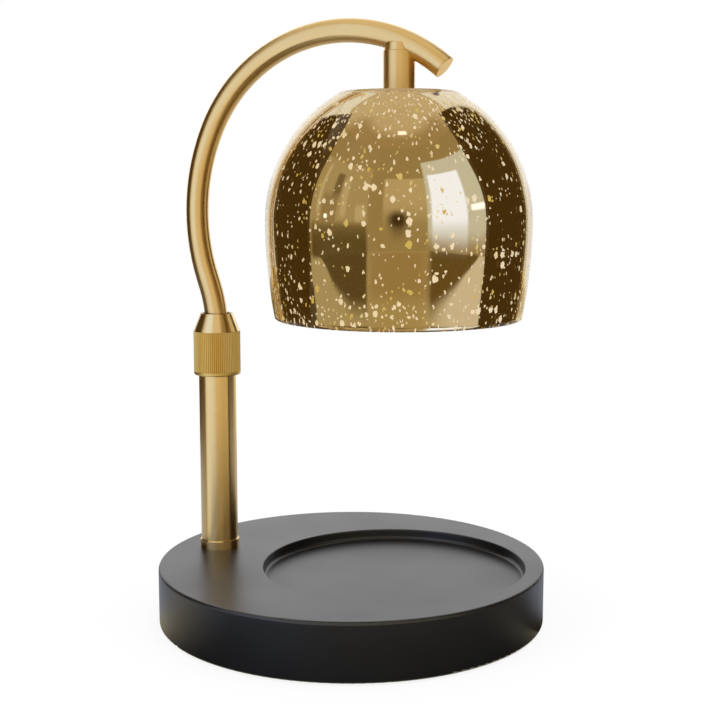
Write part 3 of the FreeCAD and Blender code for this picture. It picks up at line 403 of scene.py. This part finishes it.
FINISHES = {
    "lacquered_wood": lacquered_wood(),
    "foam_pad": matt_polymer("foam_pad", "#131313", "#1D1D1E", cell=0.333, rough=0.9),
    "black_nylon": matt_polymer("black_nylon", "#161616", "#1C1C1C", cell=1.0, rough=0.5),
    "satin_brass": satin_brass("satin_brass", upright, rough=0.24),
    "turned_brass": turned_brass(),
    "knurled_brass": knurled_brass(),
    "zinc_steel": zinc_steel(),
    "silicone": matt_polymer("silicone", "#D9D6CE", "#E2DFD8", cell=1.25, rough=0.6),
    "mirrored_glass": gold_silvering(),
    "glazed_ceramic": glazed_ceramic(),
    "lead_sleeve": matt_polymer("lead_sleeve", "#C9C4B8", "#DAD6CC", cell=0.5, rough=0.7),
    "reflector_coat": reflector_coat(),
    "clear_glass": clear_glass(),
}

for row in frame["record"]["subparts"]:
    cad = frame["nodes"][row["node"]]
    if not cad.material_slots:
        cad.data.materials.append(None)
    for held in cad.material_slots:
        held.material = FINISHES[row["material_slot"]]
arm_brass = satin_brass("satin_brass_bent", along_arm, rough=0.30)
stem_brass = satin_brass("satin_brass_stem", upright, rough=0.36)
for name, brass in (("arm_tube", arm_brass), ("arm_end_plug", arm_brass), ("stem_neck", stem_brass),
                    ("stem_tube", stem_brass)):
    frame["nodes"][name].material_slots[0].material = brass


# ---------------------------------------------------------------- pieces

def mirrored_shade():
    """The glass wall as one closed profile turned round the lamp's axis.

    Outside: flat top, a small round, the shoulder arc, the flank arc and a bowed rim. Inside: the same
    arcs one wall nearer, then the underside of the flat top and its hole. The shoulder arc is upright at
    the widest place, so its radius is (step squared + crown squared) / (2 step), with step the widest
    radius less the flat's. The flat map takes the way round at one radius and the way along the profile.
    """
    top, rim_z = shade_high.z, shade_low.z
    belt_z = rim_z + SKIRT
    crown, step = top - belt_z, BELT - FLAT
    dome = (step ** 2 + crown ** 2) / (2 * step)
    dome_x, flank_x = BELT - dome, BELT - FLANK

    to_round, up_round = dome - CROWN_ROUND, crown - CROWN_ROUND
    round_start = math.degrees(math.asin(up_round / to_round))
    round_x = dome_x + math.sqrt(to_round ** 2 - up_round ** 2)
    under = math.degrees(math.asin((crown - WALL) / (dome - WALL)))
    under_x = dome_x + (dome - WALL) * math.cos(math.radians(under))

    rim_out = math.degrees(math.asin(SKIRT / FLANK))
    rim_in = math.degrees(math.asin(SKIRT / (FLANK - WALL)))
    rim_outer = flank_x + FLANK * math.cos(math.radians(rim_out))
    rim_inner = flank_x + (FLANK - WALL) * math.cos(math.radians(rim_in))
    bow, half = RIM_BOW * (rim_outer - rim_inner), (rim_outer - rim_inner) / 2
    bow_turn = math.degrees(math.asin(half / bow))
    bow_centre = ((rim_outer + rim_inner) / 2, rim_z + math.sqrt(bow ** 2 - half ** 2))

    clear = [line((HOLE, top), (round_x, top), 14),
             arc((round_x, top - CROWN_ROUND), CROWN_ROUND, 90, round_start, 10),
             arc((dome_x, belt_z), dome, round_start, 0, 60),
             arc((flank_x, belt_z), FLANK, 0, -rim_out, 30),
             arc(bow_centre, bow, -90 + bow_turn, -90 - bow_turn, 10)]
    silvered = [arc((flank_x, belt_z), FLANK - WALL, -rim_in, 0, 30),
                arc((dome_x, belt_z), dome - WALL, 0, under, 50)]
    etched = [line((under_x, top - WALL), (HOLE, top - WALL), 12),
              line((HOLE, top - WALL), (HOLE, top), 3)]
    profile = np.concatenate(clear + silvered + etched)
    points = turned(profile, LAMP_X, SHADE_STEPS)
    faces = grid_faces(len(profile), SHADE_STEPS, close_rows=True, close_columns=True)[:, ::-1]
    piece = make_piece("mirrored_shade", points, faces, "arm",
                       [clear_shell(), FINISHES["mirrored_glass"], etched_ring()])
    counts = [sum(map(len, coat)) for coat in (clear, silvered, etched)]
    piece.data.polygons.foreach_set("material_index", np.repeat([0, 1, 2], np.array(counts) * SHADE_STEPS))

    along = np.append(0, np.cumsum(np.hypot(*np.diff(profile, axis=0, append=profile[:1]).T)))
    over = FLAT_RADIUS * 2 * np.pi * np.arange(SHADE_STEPS + 1) / SHADE_STEPS
    r, c = np.meshgrid(np.arange(len(profile)), np.arange(SHADE_STEPS), indexing="ij")
    corners = [np.stack([over[c + i], along[r + j]], -1) for i, j in ((0, 1), (1, 1), (1, 0), (0, 0))]
    flat = piece.data.uv_layers.new(name="unrolled")
    flat.data.foreach_set("uv", (np.stack(corners, 2) / (UNROLLED * MM)).ravel())
    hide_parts("glass_shade")


def arm_underside(x, roll):
    """The point of the arm's last bend at x, as far round its tube as roll from the lowest line: the bend's
    centre plus the reach that (bend less tube times cos roll) has left above x."""
    reach = ARCH - ARM_RADIUS * np.cos(roll)
    height = ARCH_CENTRE[2] + np.sqrt(reach ** 2 - (x - ARCH_CENTRE[0]) ** 2)
    return np.stack([x, ARM_RADIUS * np.sin(roll), height], -1)


def weld_fillet():
    """The weld round the stem's neck under the arm. At each turn round the neck it is a parabola that leaves
    the neck's wall upright and ends flush with the arm, with the corner between them as its control point:
    (1 - t) squared times foot, plus 2 t (1 - t) times corner, plus t squared times end. Its legs are longest
    along the arm and die out where the neck passes the arm's sides; a ring inside the metal closes it."""
    around, across = 96, 9
    legs_end, roll_end = 0.78, 0.95     # sines of the turn where the legs have died out, and of the last roll
    leg_up, more_up = 1.15 * MM, 0.15 * MM      # the legs at the sides, and what they gain towards the lamp
    leg_out, more_out = 1.25 * MM, 0.05 * MM
    round_arm = 0.6                     # share of the outer leg that goes round the arm
    sunk = 0.3 * MM

    low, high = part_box("stem_neck")
    neck = (high.x - low.x) / 2
    turn = 2 * np.pi * np.arange(around) / around
    fading = np.clip(1 - (np.sin(turn) / legs_end) ** 4, 0, 1)
    rise = (leg_up + more_up * np.cos(turn)) * fading
    run = (leg_out + more_out * np.cos(turn)) * fading

    x = LAMP_X + neck * np.cos(turn)
    roll = np.arcsin(np.clip(neck * np.sin(turn) / ARM_RADIUS, -roll_end, roll_end))
    corner = arm_underside(x, roll)
    foot = corner - rise[:, None] * [0, 0, 1]
    end = arm_underside(x + run * np.cos(turn), roll + round_arm * run * np.sin(turn) / ARM_RADIUS)
    t = np.linspace(0, 1, across)[:, None, None]
    outside = (1 - t) ** 2 * foot + 2 * t * (1 - t) * corner + t ** 2 * end
    inside = corner + sunk * np.stack([-np.cos(turn), -np.sin(turn), np.ones(around)], -1)
    points = np.concatenate([outside, inside[None]])
    faces = grid_faces(across + 1, around, close_rows=True, close_columns=True)[:, ::-1]
    make_piece("weld_fillet", points, faces, "arm", [stem_brass])


mirrored_shade()
weld_fillet()


# ---------------------------------------------------------------- camera

VIEW_FROM = Vector((195.7, -509.5, 185.2)) * MM
VIEW_ALONG = Vector((-0.349, 0.927, -0.1395))

lens = bpy.data.cameras.new("camera")
lens.sensor_width = 36.0
lens.lens = 67.13
lens.clip_start = 0.01
camera = bpy.data.objects.new("camera", lens)
camera.location = VIEW_FROM
camera.rotation_mode = "QUATERNION"
camera.rotation_quaternion = VIEW_ALONG.to_track_quat("-Z", "Y")
bpy.context.scene.collection.objects.link(camera)
bpy.context.scene.camera = camera


# ---------------------------------------------------------------- stage and light

AWAY = Vector((VIEW_ALONG.x, VIEW_ALONG.y, 0)).normalized()
RIGHT = Vector((AWAY.y, -AWAY.x, 0))
DARK = "#4D3C1D"

# What sees a card. Bare metal and lacquer see it by glossy rays. The shade's mirror lies behind clear glass,
# so its reflections leave through the glass and see it by transmission rays.
METAL, MIRROR = "glossy", "transmission"


def placed(right, near, up, centre=LAMP_X):
    """Points from their distances in metres from the upright line through x = centre: to the camera's right,
    towards the camera, and above the table."""
    right, near, up = (np.asarray(distance)[..., None] for distance in (right, near, up))
    line_foot = np.array((centre, 0, 0))
    return line_foot + right * np.array(RIGHT) - near * np.array(AWAY) + up * np.array((0, 0, 1))


def bowed_card(reach, turn, up, count=40):
    """An upright card bent round the lamp's axis, at reach from it, over two turns and two heights. A turn
    is in degrees from the camera's side to its right."""
    u, v = np.meshgrid(np.radians(np.linspace(*turn, count)), np.linspace(*up, count), indexing="ij")
    return placed(reach * np.sin(u), reach * np.cos(u), v)


def level_card(reach, turn, height, centre=LAMP_X, count=40):
    """A level card between two reaches and two turns, as for bowed_card. A reach may be a list of
    (turn, reach) steps, the same at both sides."""
    u, v = np.meshgrid(np.linspace(*turn, count), np.linspace(0, 1, count), indexing="ij")
    near, far = (np.interp(np.abs(u), *zip(*r)) if isinstance(r, list) else r for r in reach)
    away, u = near + (far - near) * v, np.radians(u)
    return placed(away * np.sin(u), away * np.cos(u), np.full(u.shape, height), centre)


def flag(right, front, back, top, lean=(0.36, 0.75), step=0.8):
    """A black flag beside the lamp, in an upright plane. Above lean[0] its front edge leans back by
    lean[1] times the height squared, its back edge steps back above 0.23 m, and its top slopes down."""
    v, u = np.meshgrid(np.linspace(0, 1, 60), np.linspace(0, 1, 20), indexing="ij")
    z = v * (top[0] + (top[1] - top[0]) * u)
    edge = front - lean[1] * np.clip(z - lean[0], 0, None) ** 2
    rear = back - step * np.clip(z - 0.23, 0, None)
    return placed(np.full(u.shape, right), edge + (rear - edge) * u, z)


def faded(t, share):
    """Rises from 0 to 1 over a share of t, or is 1 all along where there is no share."""
    return np.clip(t / share, 0, 1) if share else np.ones_like(t)


def card(name, points, colour, strength=1.0, seen_by=(METAL, MIRROR), soft=(0.0, 0.0, 0.0)):
    """A studio card that only reflections show, given as a grid of points. Its light is colour times
    strength. It fades out over the shares soft of its width, of its height from below and of its height
    from above; a level card's height is its reach."""
    rows, columns = points.shape[:2]
    made = make_piece(name, points, grid_faces(rows, columns), None, [])
    u, v = np.linspace(0, 1, rows)[:, None], np.linspace(0, 1, columns)[None, :]
    cover = faded(np.minimum(u, 1 - u), soft[0]) * faded(v, soft[1]) * faded(1 - v, soft[2])
    cover = cover * cover * (3 - 2 * cover)
    values = made.data.attributes.new("cover", "FLOAT", "POINT")
    values.data.foreach_set("value", cover.ravel())
    material, tree = new_material(name)
    material.cycles.emission_sampling = "NONE"
    shown = node(tree, "ShaderNodeAttribute", {"attribute_name": "cover"}, out="Fac")
    glow = node(tree, "ShaderNodeEmission", Color=linear(colour), Strength=strength)
    clear = node(tree, "ShaderNodeBsdfTransparent")
    mixed = node(tree, "ShaderNodeMixShader", _0=shown, _1=clear, _2=glow)
    made.data.materials.append(finish_material(material, mixed))
    for kind in ("camera", "diffuse", "glossy", "transmission", "volume_scatter", "shadow"):
        setattr(made, f"visible_{kind}", kind in seen_by)


in_mirror = partial(card, seen_by=(MIRROR,))
on_metal = partial(card, seen_by=(METAL,))


def seen(tree):
    """1 for rays from the camera, off mirrors and through glass, and 0 for the rest."""
    path = node(tree, "ShaderNodeLightPath").node.outputs
    bent = node(tree, "ShaderNodeMath", {"operation": "MAXIMUM"}, _0=path["Is Glossy Ray"],
                _1=path["Is Transmission Ray"])
    return node(tree, "ShaderNodeMath", {"operation": "MAXIMUM"}, _0=path["Is Camera Ray"], _1=bent)


def white_world():
    """White for the camera, mirrors and glass; a plain soft level for everything that is matt."""
    world = bpy.data.worlds.new("studio")
    bpy.context.scene.world = world
    world.use_nodes = True
    world.cycles.sampling_method = "NONE"
    tree = world.node_tree
    tree.nodes.clear()
    level = node(tree, "ShaderNodeMapRange", Value=seen(tree), To_Min=0.75, To_Max=1.0)
    sky = node(tree, "ShaderNodeBackground", Color=linear("#FFFFFF"), Strength=level)
    node(tree, "ShaderNodeOutputWorld", Surface=sky)


def floor():
    """A white floor: matt and lit for everything, and plain white where it is seen, apart from a weak shadow
    that fades out round the base, from 85 mm to 230 mm from its middle."""
    size = 3.0
    points = np.array([[-size, -size, 0], [size, -size, 0], [size, size, 0], [-size, size, 0]])
    material, tree = new_material("white_floor")
    away = node(tree, "ShaderNodeVectorMath", {"operation": "LENGTH"}, out="Value", _0=object_space(tree))
    plain = node(tree, "ShaderNodeMapRange", SMOOTH, Value=away, From_Min=85, From_Max=230, To_Min=0.86,
                 To_Max=1.0)
    shown = node(tree, "ShaderNodeMath", {"operation": "MULTIPLY"}, _0=seen(tree), _1=plain)
    matt = node(tree, "ShaderNodeBsdfDiffuse", Color=linear("#F2F2F2"))
    white = node(tree, "ShaderNodeEmission", Color=linear("#FFFFFF"), Strength=1.0)
    mixed = node(tree, "ShaderNodeMixShader", _0=shown, _1=matt, _2=white)
    finish_material(material, mixed)
    made = make_piece("floor", points, np.array([[0, 1, 2, 3]]), None, [material])


def room():
    """A tan front wall with a ceiling that is lit over the lamp. Behind, all is white, a little blue."""
    in_mirror("front", bowed_card(1.10, (-96, 96), (0, 2.0)), "#A49777")
    in_mirror("backdrop", bowed_card(1.30, (128, 232), (-0.1, 2.2)), "#D0DDFF", 1.50, soft=(0.05, 0.0, 0.1))
    in_mirror("ceiling", level_card((0.001, 1.25), (0, 360), 2.0), "#AA9979")
    in_mirror("ceiling_lit", level_card((0.001, 0.80), (0, 360), 1.99), "#D1C8BA", soft=(0.0, 0.0, 0.5))
    in_mirror("ceiling_back", level_card((0.2, 1.2), (90, 270), 1.985), "#D4CDBF", soft=(0.2, 0.3, 0.0))


def table_top():
    """A pale table whose curved front edge gives on to dark floor at both sides, and the flags' dark feet."""
    edge_left = [(25, 0.27), (43, 0.30), (50, 0.36), (54, 0.42), (59, 0.51), (63, 0.64), (68, 0.86),
                 (73, 1.04)]
    edge_right = [(23, 0.27), (30, 0.29), (35, 0.325), (40, 0.365), (46, 0.425), (51, 0.50), (56, 0.60),
                  (62, 0.74), (68, 0.92), (72, 1.06)]
    in_mirror("table", level_card((0.001, 1.1), (0, 360), 0.0004), "#B5AA89")
    in_mirror("table_far", level_card((0.33, 1.06), (-27, 25), 0.0006), "#A5936F", soft=(0.0, 0.25, 0.0))
    in_mirror("table_left", level_card((0.2, 1.1), (-92, -24), 0.0006), "#B6AF95", soft=(0.15, 0.0, 0.0))
    in_mirror("table_right", level_card((0.2, 1.1), (15, 110), 0.0006), "#E1E3F0", soft=(0.35, 0.0, 0.0))
    in_mirror("pool_left", level_card((edge_left, 1.1), (-79, -27), 0.0010), "#59481D", soft=(0.05, 0.2, 0.0))
    in_mirror("pool_right", level_card((edge_right, 1.1), (22, 74), 0.0010), "#67562E", soft=(0.10, 0.2, 0.0))
    in_mirror("foot_right", level_card((0.15, 0.60), (75.5, 133), 0.0012), DARK)
    in_mirror("foot_left", level_card((0.15, 0.60), (-135, -80), 0.0012), DARK)


def screens():
    """Pale screens in front and at the left, with a darker fold and their stand, over a dark floor."""
    in_mirror("screen_mid", bowed_card(1.06, (-16, 25), (0.0, 0.91)), "#C8BFAA", soft=(0.06, 0.6, 0.02))
    in_mirror("screen_left", bowed_card(1.04, (-88, -27), (0.13, 1.12)), "#B6AC90", soft=(0.03, 0.08, 0.08))
    in_mirror("screen_in", bowed_card(1.03, (-72, -55), (0.17, 0.60)), "#9E9071", soft=(0.15, 0.1, 0.3))
    in_mirror("screen_dark", bowed_card(1.02, (-64, -54), (0.45, 0.87)), "#7C6E50", soft=(0.25, 0.3, 0.1))
    in_mirror("screen_leg", bowed_card(1.02, (-77, -72), (0.19, 0.98)), "#D1CEBF", soft=(0.4, 0.2, 0.1))
    in_mirror("screen_arm", bowed_card(1.02, (-54, -46), (0.18, 0.86)), "#CBC5B3", soft=(0.3, 0.2, 0.2))
    in_mirror("screen_patch", bowed_card(1.02, (-40, -29), (0.16, 0.46)), "#CBC5B1", soft=(0.2, 0.15, 0.3))
    in_mirror("floor_left", bowed_card(0.98, (-82, -27), (-0.01, 0.24)), "#5F5027", soft=(0.05, 0.12, 0.72))


def window():
    """A large soft window at the right with its frame, three small lamps, and the dark camera."""
    in_mirror("window_frame", bowed_card(0.95, (22, 92), (0.03, 1.18)), "#D2E1FF", 1.10,
              soft=(0.02, 0.08, 0.02))
    in_mirror("window", bowed_card(0.93, (25.5, 59.5), (0.0, 0.86)), "#A8BDFF", 3.05, soft=(0.06, 0.28, 0.02))
    in_mirror("lamp_right", bowed_card(0.90, (61, 82), (0.285, 0.375)), "#B6CAFF", 3.40,
              soft=(0.15, 0.3, 0.3))
    in_mirror("lamp_left", bowed_card(0.90, (-68, -64), (0.21, 0.27)), "#CDDDFF", 3.60, soft=(0.3, 0.3, 0.3))
    in_mirror("lamp_above", level_card((0.46, 0.60), (-7, 19), 1.96), "#CED9FF", 2.60, soft=(0.2, 0.2, 0.2))
    in_mirror("camera_body", bowed_card(1.0, (-15, 11), (0.04, 0.40)), "#3F3019", soft=(0.4, 0.4, 0.4))


def black_flags():
    """A black flag at each side of the lamp."""
    card("flag_right", flag(0.40, 0.110, -0.43, (1.10, 0.62), (0.38, 0.66)), DARK)
    in_mirror("flag_left", flag(-0.40, 0.076, -0.38, (0.99, 0.62), (0.34, 0.88), 0.45), DARK)


def metal_studio():
    """The room as the brass and the lacquer see it: brighter, with dark strips that give the tubes their
    edges, a pale back, and a dark ring close to the base's side."""
    on_metal("metal_front", bowed_card(1.10, (-92, 92), (0, 2.0)), "#D4C5A6")
    on_metal("metal_mid", bowed_card(1.08, (-40, 45), (0, 1.6)), "#EFE1C8", soft=(0.45, 0.0, 0.3))
    on_metal("metal_left", bowed_card(1.06, (-80, -14), (0, 1.9)), "#D4E2FF", 1.45, soft=(0.3, 0.0, 0.1))
    on_metal("metal_ceiling", level_card((0.001, 1.25), (0, 360), 2.0), "#EDE7D7")
    on_metal("metal_table", level_card((0.001, 1.1), (0, 360), 0.0004), "#F1E5C4")
    on_metal("metal_lit", level_card((0.10, 1.1), (-84, 6), 0.0006, POLE_X), "#DEE8FF", 1.34,
             soft=(0.25, 0.0, 0.0))
    on_metal("metal_foot_left", level_card((0.10, 1.2), (-180, -78), 0.0008, POLE_X), DARK)
    on_metal("metal_foot_right", level_card((0.10, 1.2), (71, 112), 0.0008, POLE_X), DARK)
    on_metal("metal_flag", flag(-0.80, 0.125, -0.85, (2.0, 1.9)), DARK)
    on_metal("metal_back", bowed_card(1.2, (120, 240), (0.2, 1.4)), "#FDFDFF", 1.34, soft=(0.1, 0.1, 0.1))
    on_metal("metal_rim", level_card((0.08, 0.40), (75, 285), 0.0010, 0.0), "#C4C8D4", soft=(0.1, 0.0, 0.15))
    on_metal("metal_near", level_card((0.08, 0.22), (-92, 98), 0.0012, 0.0), "#191919",
             soft=(0.25, 0.0, 0.15))


def lamps():
    """A soft overhead lamp and a weaker one from the camera's left, unseen in reflections. Each has its
    place as for placed, its size in metres and its power in watts, and points at aim_at."""
    aim_at = Vector((0, 0, 0.08))
    for name, place, size, power in (("lamp_top", (0.1, 0.1, 0.9), 0.9, 5.0),
                                     ("lamp_left", (-0.7, 0.5, 0.5), 0.5, 2.0)):
        light = bpy.data.lights.new(name, "AREA")
        light.size = size
        light.energy = power
        made = bpy.data.objects.new(name, light)
        made.location = placed(*place)
        aim = aim_at - made.location
        made.rotation_mode = "QUATERNION"
        made.rotation_quaternion = aim.to_track_quat("-Z", "Y")
        made.visible_camera = made.visible_glossy = made.visible_transmission = False
        bpy.context.scene.collection.objects.link(made)


white_world()
floor()
room()
table_top()
screens()
window()
black_flags()
metal_studio()
lamps()
bpy.context.scene.view_settings.view_transform = "Standard"
